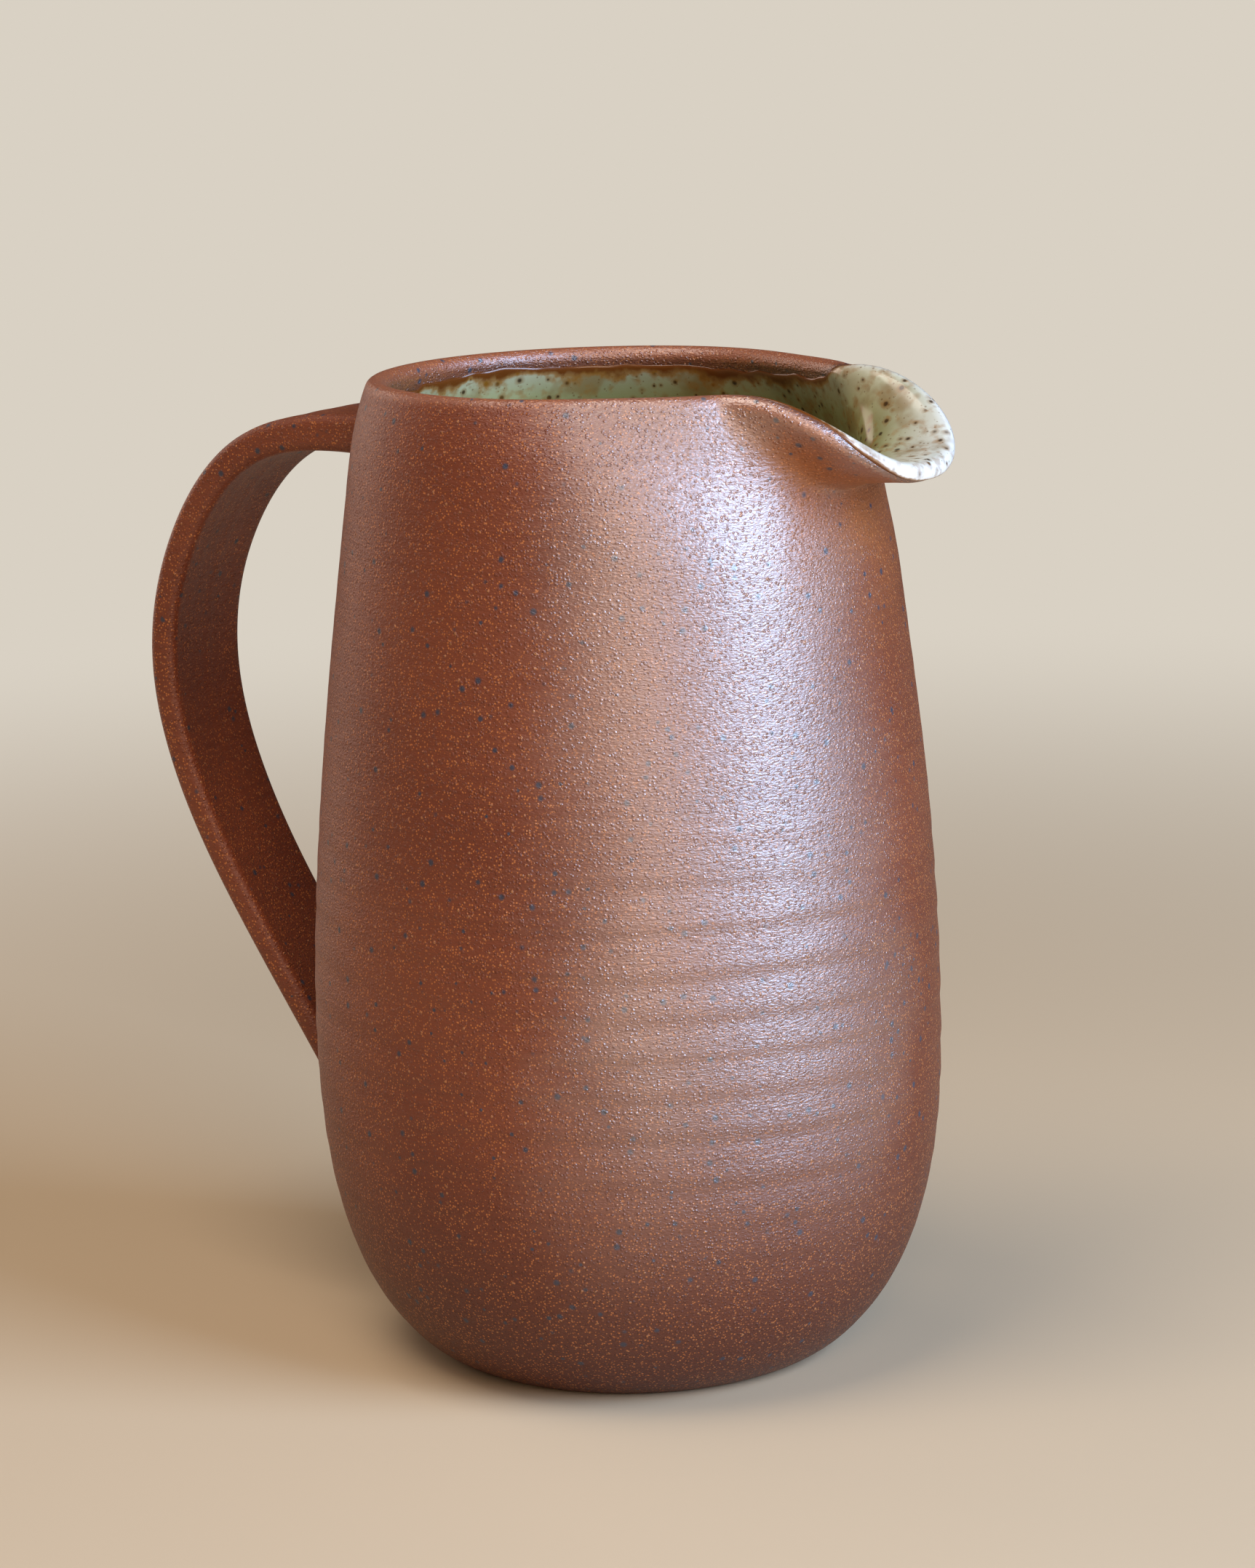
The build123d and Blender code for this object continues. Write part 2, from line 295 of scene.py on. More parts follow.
def spin_half_section(half_section):
    """Spin points of (travel, lift, radius, height) and keep travel and lift on each vertex."""
    clay = bmesh.new()
    travel_of = clay.verts.layers.float.new("travel")
    lift_of = clay.verts.layers.float.new("lift")
    chain = []
    for row, (travel, lift, radius, height) in enumerate(half_section):
        if travel != FLAT:
            height = stack_foot + row * stack_step
        vert = clay.verts.new((radius, 0, height))
        vert[travel_of], vert[lift_of] = travel, lift
        chain.append(vert)
    edges = [clay.edges.new(pair) for pair in zip(chain, chain[1:])]
    bmesh.ops.spin(clay, geom=chain + edges, axis=(0, 0, 1), cent=(0, 0, 0), angle=2 * pi,
                   steps=round_steps, use_merge=True)
    bmesh.ops.remove_doubles(clay, verts=clay.verts[:], dist=1e-7)
    return clay, travel_of, lift_of


print(f"a full turn takes {round_steps} steps")


# %% [markdown]
# The glaze inside stops a few millimetres under the rim, but at the spout it was
# poured out over the lip. Clay and glaze both need to know where that line runs: the
# glaze ends there, and a little iron bleeds out of it and browns the clay beside it.

# %% The line where the glaze ends
glaze_stop = 5.0 * mm           # how far inside the lip's crest it ends
glaze_overrun = 2.4 * mm        # how far over the crest it runs at the spout
one_flank = (32, 53)            # degrees from the spout over which the line climbs
other_flank = (33, 46)


def ease(value, start, end):
    share = clamp((value - start) / (end - start))
    return share * share * (3 - 2 * share)


def glaze_edge(angle):
    """Travel at which the liner glaze starts: inside the rim, or over the lip of the spout."""
    turn = from_spout(angle) * 180 / pi
    place = Vector((cos(angle), sin(angle), 0.3)) * 2.2
    wander = (1.3 * noise.noise(place) + 0.9 * noise.noise(place * 4.1)) * mm
    inside = ease(turn, *one_flank) + ease(-turn, *other_flank)
    over_spout = clamp(1 - ((turn - 6.5) / 26.5) ** 2)
    on_crest = lip_length / 2 + 1.2 * mm * ease(-turn, 16, 22)
    return on_crest + (glaze_stop + wander) * inside - (glaze_overrun + 0.2 * wander) * over_spout


print(f"glaze starts {(glaze_edge(pi) - lip_length / 2) * 1000:.1f} mm inside the lip at the back")


# %% [markdown]
# The pot itself: the chain starts under the middle of the foot, which is turned very
# slightly hollow so that it does not rock, climbs the outside, goes over the lip and
# comes down to the middle of the floor. The outside has the closest rows, because it
# carries the rings, and the inside has few, because the glaze covers it. Three
# memories are left on the clay for its finish: where the fire toasted it, where the
# glaze browned it, and where the crest of the rim is.

# %% Throw the pot
outside_row = 1.1 * mm
lip_row = 0.6 * mm
inside_row = 3.2 * mm
flat_row = 0.08                 # share of the radius between rings of foot and floor
foot_radius = 41.0 * across
foot_hollow = 0.9 * mm
foot_rim = 0.16                 # share of the foot's radius that stands on the table
floor_height = 5.2 * upward
toasted_heart = Vector((57 * across, -8 * across, 197 * upward))
toasted_reach = 27 * mm
browned_width = 1.5 * mm
deep = lip_length + wall_length


def floor_at(share):
    """Radius and height from the foot of the inner wall, share 0, to the middle, share 1."""
    edge = skin(deep, pi, 0)
    return -edge.x * (1 - share), floor_height + (edge.z - floor_height) * (1 - share) ** 6


half_section = []
for share in stretch(0, 1, flat_row):
    hollow = foot_hollow * clamp((1 - share) / foot_rim) ** 0.5
    half_section.append((FLAT, 0.0, foot_radius * share, hollow))
half_section += wall_rows(stretch(-wall_length, 0, outside_row)[1:], 0.0, outside_stack)
half_section += wall_rows(stretch(0, lip_length, lip_row)[1:], 0.0, lip_stack)
half_section += wall_rows(stretch(lip_length, deep, inside_row)[1:], 0.0, inside_stack)
half_section += [(FLAT, 0.0, *floor_at(share)) for share in stretch(0, 1, flat_row)[1:]]

clay, travel_of, _ = spin_half_section(half_section)
toasted_of = clay.verts.layers.float.new("toasted")
browned_of = clay.verts.layers.float.new("browned")
crest_of = clay.verts.layers.float.new("crest")
for vert in clay.verts:
    travel, angle = vert[travel_of], atan2(vert.co.y, vert.co.x)
    if travel == FLAT:
        continue
    vert.co = skin(travel, angle, 0.0)
    if travel < 0:
        vert.co -= Vector((cos(angle), sin(angle), 0)) * throwing_marks(vert.co.z, angle)
    vert[browned_of] = exp(-((max(glaze_edge(angle) - travel, 0) / browned_width) ** 2))
    vert[crest_of] = ease(travel, -1.5 * mm, 2.0 * mm)
    cloud = 0.75 + 0.6 * noise.noise(vert.co / (14 * mm))
    from_heart = (vert.co - toasted_heart).length / toasted_reach
    vert[toasted_of] = clamp(cloud * exp(-(from_heart**2)))
thrown_pot = finish_mesh(clay, "thrown_pot")

# %% [markdown]
# The liner glaze is poured in, swirled and poured out over the spout. It leaves a
# glassy coat under half a millimetre thick that ends in a wandering line just under
# the rim, and runs over the lip of the spout. It is a closed shell of its own: its
# back lies inside the clay and its front stands proud of it, with a rounded edge.
# It remembers where it is drawn thin, and how far in it lies, which carries both
# where it pooled and the painted shade deeper inside the pot.

# %% Pour the liner glaze
BACK, EDGE, FRONT = 10, 20, 30  # which face of the coat a point of the half section is on
glaze_lift = 0.42 * mm
glaze_back = -0.7 * mm
edge_steps = [(0.0, -0.5), (0.0, 0.0), (0.22, 0.42), (0.55, 0.72), (1.0, 0.9), (1.6, 1.0)]
edge_width = edge_steps[-1][0] * mm
coat_shares = [(i / 70) ** 1.4 for i in range(71)]
floor_shares = stretch(0, 1, flat_row)[1:]


def glaze_floor(shares, lift):
    return [(FLAT, lift, radius, height + lift) for radius, height in map(floor_at, shares)]


half_section = glaze_floor(reversed(floor_shares), glaze_back)
half_section += wall_rows([BACK + share for share in reversed(coat_shares)], glaze_back, inside_stack)
for step, height in edge_steps:
    half_section += wall_rows([EDGE + step], height * glaze_lift, lip_stack)
half_section += wall_rows([FRONT + share for share in coat_shares[1:]], glaze_lift, front_stack)
half_section += glaze_floor(floor_shares, glaze_lift)

glass, travel_of, lift_of = spin_half_section(half_section)
thin_of = glass.verts.layers.float.new("thin")
pooled_and_shade_of = glass.verts.layers.float.new("pooled_and_shade")
for vert in glass.verts:
    code, lift = vert[travel_of], vert[lift_of]
    if abs(code - FLAT) < 0.01:
        continue
    angle = atan2(vert.co.y, vert.co.x)
    start = glaze_edge(angle)
    if EDGE <= code < FRONT:
        travel = start + (code - EDGE) * mm
        from_edge = code - EDGE
    else:
        share = code - BACK if code < EDGE else code - FRONT
        travel = start + edge_width + share * (deep - start - edge_width)
        from_edge = 0 if code < EDGE else (edge_width + share * (deep - start)) / mm
    vert.co = skin(travel, angle, lift)
    inside = clamp((start - lip_length / 2) / (3 * mm))
    patchy = 0.5 + 0.9 * noise.noise(Vector((cos(angle), sin(angle), 1.7)) * 6)
    thin_width = 0.6 + inside * (0.5 + 2.4 * clamp(patchy))
    vert[thin_of] = exp(-((from_edge / thin_width) ** 2))
    inward = from_edge + (start - lip_length / 2) / mm
    # how far in from the glaze's edge: it carries both the glaze's pooling and painted shade deeper inside
    # the pot
    vert[pooled_and_shade_of] = 0.6 * ease(inward, 0, 3) + 0.4 * ease(inward, 3, 14)
liner_glaze_coat = finish_mesh(glass, "liner_glaze_coat")

# %% [markdown]
# The handle is pulled like taffy from a lump of clay: thick where it leaves the neck,
# thin at its tail, with a shallow groove that the thumb leaves along the inside. Its
# course is another batten, seen from the side. A section ring is extruded step by
# step along it, and each vertex remembers its place round the section.

# %% The strap's course
grip = -handle_low.x - 3.47 * mm        # from the pot's axis to the middle of the strap
upper_height = 201.4 * upward
lower_height = 52.0 * upward
root_bury = 3.4 * mm
tail_bury = 6.5 * mm


def wall_level(height):
    """The share of the wall's course that lies at a height."""
    low, high = 0.0, 1.0
    for _ in range(30):
        level = (low + high) / 2
        low, high = (level, high) if outline(level).y < height else (low, level)
    return low


upper_root = Vector((outline(wall_level(upper_height)).x, upper_height))
lower_root = Vector((outline(wall_level(lower_height)).x, lower_height))
tail = Vector((grip - 30.6 * across, 74.3 * upward))
tail_way = (lower_root - tail).normalized()
strap_pins = [
    upper_root - Vector((root_bury, 0)),
    Vector((grip - 24.6 * across, 196.0 * upward)),
    Vector((grip - 6.1 * across, 174.0 * upward)),
    Vector((grip, 148.0 * upward)),
    Vector((grip - 8.6 * across, 112.8 * upward)),
    tail,
    lower_root + tail_way * tail_bury,
]
strap_course, strap_length = batten(strap_pins, Vector((1, 0)), tail_way)
print(f"strap course {strap_length * 1000:.0f} mm, grip {grip * 1000:.1f} mm from the axis")

# %% Pull the strap
section_steps = 96
strap_rows = 110
strap_width = 27.6
root_widening = 6.4
strap_thickness = 7.0
root_thickening = 2.2
tail_thinning = 1.6
strap_corner = 2.3 * mm
thumb_groove = 0.75


def rounded_box(turn, side, face, corner):
    """A point round a rectangle with rounded corners; turn runs from 0 to 1."""
    legs = [2 * (side - corner), pi / 2 * corner, 2 * (face - corner), pi / 2 * corner]
    left = (turn % 0.5) * 2 * sum(legs)
    flip = 1 if turn % 1 < 0.5 else -1
    if left < legs[0]:
        return flip * (left - side + corner), flip * face
    left -= legs[0]
    if left < legs[1]:
        bend = left / corner
        return flip * (side - corner + corner * sin(bend)), flip * (face - corner + corner * cos(bend))
    left -= legs[1]
    if left < legs[2]:
        return flip * side, flip * (face - corner - left)
    bend = (left - legs[2]) / corner
    return flip * (side - corner + corner * cos(bend)), flip * (corner - face - corner * sin(bend))


def strap_skin(share, turn, growth=0.0):
    """A point of the strap's skin, turn round its section, at a share of its course."""
    along = (strap_course(share + small_step) - strap_course(share - small_step)).normalized()
    near_root = (1 - clamp(share)) ** 8
    near_tail = clamp(share) ** 3
    side = (strap_width + root_widening * near_root) / 2 * mm + growth
    face = (strap_thickness + root_thickening * near_root - tail_thinning * near_tail) / 2 * mm + growth
    over, out = rounded_box(turn, side, face, strap_corner + growth)
    middle = 1 - min(abs(over) / (side - 1.8 * mm), 1) ** 2
    wander = noise.noise(Vector((share * 7, over / (9 * mm), 4.2 if out > 0 else 9.7)))
    streak = noise.noise(Vector((share * 1.3, over / (2.6 * mm), 1.7 if out > 0 else 6.1)))
    if out < 0:
        out += (thumb_groove * middle + 0.16 * streak * middle + 0.12 * wander + 0.1) * mm
    else:
        out -= (0.12 + 0.1 * streak * middle + 0.12 * wander) * mm
    over -= copysign((0.14 + 0.14 * wander) * mm, over) * abs(over) / side
    place = strap_course(share) + Vector((-along.y, along.x)) * out
    return Vector((-place.x, over, place.y))


strap = bmesh.new()
share_of = strap.verts.layers.float.new("share")
turn_of = strap.verts.layers.float.new("turn")
first_ring = bmesh.ops.create_circle(strap, cap_ends=True, segments=section_steps, radius=0.01)["verts"]
for vert in first_ring:
    vert[turn_of] = (0.5 - atan2(vert.co.y, vert.co.x) / (2 * pi)) % 1
ring_edges = [edge for edge in strap.edges if edge.is_boundary or len(edge.link_faces) == 1]
for row in range(1, strap_rows + 1):
    made = bmesh.ops.extrude_edge_only(strap, edges=ring_edges)["geom"]
    ring_edges = [item for item in made if isinstance(item, bmesh.types.BMEdge)
                  and all(vert in made for vert in item.verts)]
    for item in made:
        if isinstance(item, bmesh.types.BMVert):
            item[share_of] = row / strap_rows
            item.co.z = row * 0.001
bmesh.ops.contextual_create(strap, geom=ring_edges)
for vert in strap.verts:
    vert.co = strap_skin(vert[share_of], vert[turn_of])
strap_handle = finish_mesh(strap, "strap_handle")


# %% [markdown]
# Where the strap meets the pot, a coil of soft clay is smeared in with a finger, so
# the skin flows from one into the other. Each collar is a ring of short Bezier
# curves: they leave along the strap and arrive along the wall. Its first and last
# rings are tucked into the clay, and the rings are bridged and capped.

# %% Smear in the joints
collar_rows = 11
strap_arm = 0.55                # length of each curve's arms, as a share of the gap
wall_arm = 0.42
tucked = 0.4 * mm
smear_lift = 0.03 * mm


def on_wall(place, lift):
    angle = atan2(place.y, place.x)
    point = skin(-(1 - wall_level(place.z)) * wall_length, angle, lift)
    return point - Vector((cos(angle), sin(angle), 0)) * throwing_marks(point.z, angle)


def meeting_share(first, last):
    """The share at which the strap's course passes into the wall."""
    for _ in range(30):
        middle = (first + last) / 2
        place = strap_course(middle)
        inside = place.x < outline(wall_level(place.y)).x
        first, last = (first, middle) if inside else (middle, last)
    return first


def smear_point(row, turn, meeting, start_share, away, spread):
    """A point of the curve that runs at one turn from the strap to the wall."""
    if row < 0:
        return strap_skin(start_share + away * 0.004, turn, -0.3 * mm)
    start = strap_skin(start_share, turn)
    course_way = (start - strap_skin(start_share + away * 0.01, turn)).normalized()
    target = on_wall(strap_skin(meeting, turn, spread), smear_lift)
    near = on_wall(strap_skin(meeting, turn, spread * 0.2), smear_lift)
    wall_way = (near - target).normalized()
    if row > collar_rows:
        return on_wall(target - wall_way * 1.0 * mm, -tucked)
    part = row / collar_rows
    gap = (target - start).length
    first_arm = start + course_way * gap * strap_arm
    last_arm = target + wall_way * gap * wall_arm
    return (start * (1 - part) ** 3 + first_arm * 3 * part * (1 - part) ** 2
            + last_arm * 3 * part**2 * (1 - part) + target * part**3)


def smear_collar(name, meeting, away, reach, spread):
    """A closed collar from the strap, reach away from the wall, out to spread on the wall."""
    collar = bmesh.new()
    start_share = meeting + away * reach / strap_length
    rings = []
    for row in range(-1, collar_rows + 2):
        points = [smear_point(row, step / section_steps, meeting, start_share, away, spread)
                  for step in range(section_steps)]
        rings.append([collar.verts.new(point) for point in points])
    for ring in rings:
        for pair in zip(ring, ring[1:] + ring[:1]):
            collar.edges.new(pair)
    for ring, after in zip(rings, rings[1:]):
        edges = {edge for vert in ring + after for edge in vert.link_edges}
        own = [edge for edge in edges
               if all(vert in ring for vert in edge.verts) or all(vert in after for vert in edge.verts)]
        bmesh.ops.bridge_loops(collar, edges=own)
    bmesh.ops.contextual_create(collar, geom=rings[0])
    bmesh.ops.contextual_create(collar, geom=rings[-1])
    return finish_mesh(collar, name)


upper_meeting = meeting_share(0.25, 0.0)
lower_meeting = meeting_share(0.75, 1.0)
upper_collar = smear_collar("upper_collar", upper_meeting, 1, 8.0 * mm, 3.0 * mm)
lower_collar = smear_collar("lower_collar", lower_meeting, -1, 12.0 * mm, 3.0 * mm)


# %% [markdown]
# Two surfaces make this pot. Colours are picked as hex values and turned to linear
# light by one function. Every pattern reads the piece's own coordinates in metres,
# and its scale is worked out from a real spacing in millimetres, so a speck is the
# size of a real speck. In the calls below, a Map Range node's sockets are 0 for the
# value, 1 and 2 for the range it comes from and 3 and 4 for the range it goes to. A
# colour Mix node's are 0 for the share and 6 and 7 for the colours, and its output 2.

# %% Helpers for the surfaces
smooth = {"interpolation_type": "SMOOTHSTEP"}


def linear(hex_colour):
    channels = [int(hex_colour[i:i + 2], 16) / 255 for i in (0, 2, 4)]
    curved = [c / 12.92 if c <= 0.04045 else ((c + 0.055) / 1.055) ** 2.4 for c in channels]
    return (*curved, 1.0)


def add_node(tree, kind, inputs, output=0, **settings):
    """Add a node and give one output; inputs take a number, a hex colour or another output."""
    node = tree.nodes.new(kind)
    for name, value in settings.items():
        setattr(node, name, value)
    for name, value in inputs.items():
        if isinstance(value, bpy.types.NodeSocket):
            tree.links.new(value, node.inputs[name])
        else:
            node.inputs[name].default_value = linear(value) if isinstance(value, str) else value
    return node.outputs[output]


def new_surface(name):
    surface = bpy.data.materials.new(name)
    surface.use_nodes = True
    tree = surface.node_tree
    return surface, tree, tree.nodes["Principled BSDF"]


def every(*millimetres):
    """The scale of a pattern that repeats every so many millimetres, along each axis if three."""
    scales = [1000 / spacing for spacing in millimetres]
    return scales[0] if len(scales) == 1 else scales


def grains_of(tree, place, spacing, width, kept):
    """Scattered round grains: a cell every so many millimetres, and a share of them kept."""
    from_middle = add_node(tree, "ShaderNodeTexVoronoi", {"Vector": place, "Scale": every(spacing)},
                           feature="F1")
    dice = from_middle.node.outputs["Color"]
    size_dice = add_node(tree, "ShaderNodeSeparateXYZ", {"Vector": dice}, "Y")
    kept_dice = size_dice.node.outputs["X"]
    size = add_node(tree, "ShaderNodeMapRange", {0: size_dice, 3: width / 2, 4: width}, **smooth)
    near = add_node(tree, "ShaderNodeMapRange", {0: from_middle, 1: size, 2: 0.0, 4: 2.0})
    grain = add_node(tree, "ShaderNodeMath", {0: near, 1: 1.0}, operation="MINIMUM")
    present = add_node(tree, "ShaderNodeMapRange", {0: kept_dice, 1: 1 - kept, 2: 1.01 - kept}, **smooth)
    return add_node(tree, "ShaderNodeMath", {0: grain, 1: present}, operation="MULTIPLY")


def lay_over(tree, ground, layers):
    """Lay colours over a ground, one after another: each layer is a mask, a strength, a colour."""
    for mask, strength, colour in layers:
        share = add_node(tree, "ShaderNodeMath", {0: mask, 1: strength}, operation="MULTIPLY")
        ground = add_node(tree, "ShaderNodeMix", {0: share, 6: ground, 7: colour}, 2, data_type="RGBA")
    return ground


print("the clay's red as linear light:", [round(c, 3) for c in linear("70341C")])

# %% [markdown]
# Bare stoneware: an iron-rich clay fired to a red brown, mottled in slow clouds and
# in fine streaks left by the turning. Pale grit stands in it, blue-grey iron specks
# are sparse, and the fire toasted it amber under the spout. The foot is painted
# darker as shade near the table, and the rim's crest is painted lighter as a
# highlight where it catches the light.

# %% Bare iron stoneware: colour
bare_stoneware, tree, clay_shader = new_surface("satin_iron_stoneware")
foot_shade = 0.075                      # metres up to which the foot's darkness reaches
place = add_node(tree, "ShaderNodeTexCoord", {}, "Object")
height = add_node(tree, "ShaderNodeSeparateXYZ", {"Vector": place}, "Z")
toasted = add_node(tree, "ShaderNodeAttribute", {}, "Fac", attribute_name="toasted")
crest = add_node(tree, "ShaderNodeAttribute", {}, "Fac", attribute_name="crest")
browned = add_node(tree, "ShaderNodeAttribute", {}, "Fac", attribute_name="browned")

turned = add_node(tree, "ShaderNodeMapping", {"Vector": place, "Scale": every(71.43, 71.43, 1.25)})
streaks = add_node(tree, "ShaderNodeTexNoise", {"Vector": turned, "Scale": 1, "Detail": 3})
mottle = add_node(tree, "ShaderNodeTexNoise", {"Vector": place, "Scale": every(47.62), "Detail": 3})
few_streaks = add_node(tree, "ShaderNodeMath", {0: streaks, 1: 0.3}, operation="MULTIPLY")
clouds = add_node(tree, "ShaderNodeMath", {0: mottle, 1: 0.7, 2: few_streaks}, operation="MULTIPLY_ADD")
clouds = add_node(tree, "ShaderNodeMapRange", {0: clouds, 1: 0.36, 2: 0.64}, **smooth)
# painted shade: the clay is painted darker towards the foot, for the shade near the table
painted_foot_shade = add_node(tree, "ShaderNodeMapRange", {0: height, 2: foot_shade, 3: 0.8, 4: 0.0}, **smooth)
grit = grains_of(tree, place, 0.5882, 0.46, 0.75)
coarse_grit = grains_of(tree, place, 1.2195, 0.32, 0.22)
iron_specks = grains_of(tree, place, 3.448, 0.27, 0.6)
fired = lay_over(tree, "70341C", [
    (clouds, 1.0, "7D3F25"),
    (painted_foot_shade, 1.0, "45170A"),
    (toasted, 0.8, "A5642F"),
    # crest: a lighter orange painted on the rim's top and lip, a painted highlight where the rim catches the
    # light
    (crest, 0.85, "9A5530"),
    (browned, 0.8, "4A2210"),
    (grit, 0.8, "C87A3E"),
    (coarse_grit, 0.6, "C98A55"),
    (iron_specks, 0.95, "363A4A"),
])
tree.links.new(fired, clay_shader.inputs["Base Color"])
clay_shader.inputs["Roughness"].default_value = 0.52
clay_shader.inputs["IOR"].default_value = 1.5
print(f"{bare_stoneware.name}: {len(tree.nodes)} nodes for its colour")

# %% [markdown]
# The side that faced the fire took a satin skin from the kiln's vapour. It is a rough
# coat that fades out round the pot and towards the foot, and its high index makes the
# skin gleam though it stays rough. The toasted clay has none, and the rim has a
# little from the wet sponge.

# %% Bare iron stoneware: the vapour's satin skin
fire_way = (0.788, -0.616, 0.0)
level_place = add_node(tree, "ShaderNodeMapping", {"Vector": place, "Scale": (1, 1, 0)})
around = add_node(tree, "ShaderNodeVectorMath", {0: level_place}, operation="NORMALIZE")
facing_fire = add_node(tree, "ShaderNodeVectorMath", {0: around, 1: fire_way}, "Value",
                       operation="DOT_PRODUCT")
drift = add_node(tree, "ShaderNodeTexNoise", {"Vector": place, "Scale": every(33.33), "Detail": 3})
drift = add_node(tree, "ShaderNodeMapRange", {0: drift, 1: 0.3, 2: 0.7, 3: -0.04, 4: 0.04}, **smooth)
combed = add_node(tree, "ShaderNodeMapRange", {0: streaks, 1: 0.3, 2: 0.7, 3: -0.012, 4: 0.012}, **smooth)
vapour = add_node(tree, "ShaderNodeMath", {0: facing_fire, 1: drift}, operation="ADD")
vapour = add_node(tree, "ShaderNodeMath", {0: vapour, 1: combed}, operation="ADD")
vapour = add_node(tree, "ShaderNodeMapRange", {0: vapour, 1: 0.7, 2: 0.96, 3: 0.04, 4: 1.0}, **smooth)
above_foot = add_node(tree, "ShaderNodeMapRange", {0: height, 1: 0.018, 2: 0.085, 3: 0.08, 4: 1.0}, **smooth)
not_toasted = add_node(tree, "ShaderNodeMapRange", {0: toasted, 1: 0.25, 2: 0.9, 3: 1.0, 4: 0.1}, **smooth)
vapour = add_node(tree, "ShaderNodeMath", {0: vapour, 1: above_foot}, operation="MULTIPLY")
vapour = add_node(tree, "ShaderNodeMath", {0: vapour, 1: not_toasted}, operation="MULTIPLY")
sponged = add_node(tree, "ShaderNodeMath", {0: crest, 1: 0.5}, operation="MULTIPLY")
vapour = add_node(tree, "ShaderNodeMath", {0: vapour, 1: sponged}, operation="MAXIMUM")
tree.links.new(vapour, clay_shader.inputs["Coat Weight"])
clay_shader.inputs["Coat IOR"].default_value = 2.7
clay_shader.inputs["Coat Roughness"].default_value = 0.4
print(f"{bare_stoneware.name}: {len(tree.nodes)} nodes with its satin skin")

# %% [markdown]
# Under the light the skin shows a fine peel wiped sideways by the fingers, thin
# turning lines that come and go in bands, and the domes of grit just under it. The
# real peel is finer than a tenth of a millimetre. It is drawn several times coarser,
# so that it still catches the light from a metre away.

# %% Bare iron stoneware: relief
wiped = add_node(tree, "ShaderNodeMapping", {"Vector": place, "Scale": every(0.8333, 0.8333, 0.3846)})
peel = add_node(tree, "ShaderNodeTexNoise", {"Vector": wiped, "Scale": 1, "Detail": 2})
turning = add_node(tree, "ShaderNodeMapping", {"Vector": place, "Scale": every(20, 20, 0.6667)})
lines = add_node(tree, "ShaderNodeTexNoise", {"Vector": turning, "Scale": 1, "Detail": 2})
banding = add_node(tree, "ShaderNodeMapping", {"Vector": place, "Scale": every(111.1, 111.1, 22.22)})
bands = add_node(tree, "ShaderNodeTexNoise", {"Vector": banding, "Scale": 1, "Detail": 1})
bands = add_node(tree, "ShaderNodeMapRange", {0: bands, 1: 0.42, 2: 0.6}, **smooth)
scratches = add_node(tree, "ShaderNodeMath", {0: lines, 1: bands}, operation="MULTIPLY")
domes = grains_of(tree, place, 0.7692, 0.5, 0.7)
domes = add_node(tree, "ShaderNodeMath", {0: domes, 1: coarse_grit}, operation="ADD")
relief = add_node(tree, "ShaderNodeMath", {0: peel, 1: 0.8}, operation="MULTIPLY")
relief = add_node(tree, "ShaderNodeMath", {0: scratches, 1: 0.45, 2: relief}, operation="MULTIPLY_ADD")
relief = add_node(tree, "ShaderNodeMath", {0: domes, 1: 0.55, 2: relief}, operation="MULTIPLY_ADD")
bump = add_node(tree, "ShaderNodeBump", {"Height": relief, "Distance": 0.0003, "Strength": 0.85})
tree.links.new(bump, clay_shader.inputs["Normal"])
tree.links.new(bump, clay_shader.inputs["Coat Normal"])
print(f"{bare_stoneware.name}: {len(tree.nodes)} nodes in all")

# %% [markdown]
# Liner glaze: a celadon, glassy and a little milky. It is olive and darker deeper in,
# partly where it pools down the wall and partly as painted shade inside the pot. It
# is painted nearly white towards the spout's tip, a painted highlight where the lip
# catches the light. The iron in the clay bleeds through as brown specks with amber
# haloes, and the edge breaks amber and rusty where it thins.

# %% Pale celadon liner
liner_glaze, tree, glaze_shader = new_surface("glossy_celadon_glaze")
place = add_node(tree, "ShaderNodeTexCoord", {}, "Object")
out_along_spout = add_node(tree, "ShaderNodeSeparateXYZ", {"Vector": place}, "X")
pooled_and_shade = add_node(tree, "ShaderNodeAttribute", {}, "Fac", attribute_name="pooled_and_shade")
thin = add_node(tree, "ShaderNodeAttribute", {}, "Fac", attribute_name="thin")
white_from, white_at = 0.054, 0.071     # metres out along the spout

cloudy = add_node(tree, "ShaderNodeTexNoise", {"Vector": place, "Scale": every(31.25), "Detail": 3})
cloudy = add_node(tree, "ShaderNodeMapRange", {0: cloudy, 1: 0.36, 2: 0.64}, **smooth)
amber = add_node(tree, "ShaderNodeTexNoise", {"Vector": place, "Scale": every(9.091), "Detail": 3})
amber = add_node(tree, "ShaderNodeMapRange", {0: amber, 1: 0.5, 2: 0.66}, **smooth)
near_glaze_edge = add_node(tree, "ShaderNodeMath", {0: 1.0, 1: pooled_and_shade}, operation="SUBTRACT")
# painted highlight: the glaze is painted nearly white towards the spout's tip, where the lip catches the
# light
painted_tip_highlight = add_node(tree, "ShaderNodeMapRange", {0: out_along_spout, 1: white_from, 2: white_at}, **smooth)
painted_tip_highlight = add_node(tree, "ShaderNodeMath", {0: painted_tip_highlight, 1: near_glaze_edge}, operation="MULTIPLY")
torn = add_node(tree, "ShaderNodeTexNoise", {"Vector": place, "Scale": every(2.6316), "Detail": 3})
torn = add_node(tree, "ShaderNodeMapRange", {0: torn, 1: 0.3, 2: 0.7, 3: -0.2, 4: 0.2}, **smooth)
ragged = add_node(tree, "ShaderNodeMath", {0: thin, 1: torn}, operation="ADD")
amber_edge = add_node(tree, "ShaderNodeMapRange", {0: ragged, 1: 0.0, 2: 0.4, 3: 0.0, 4: 0.8}, **smooth)
rusty_edge = add_node(tree, "ShaderNodeMapRange", {0: ragged, 1: 0.25, 2: 0.85}, **smooth)
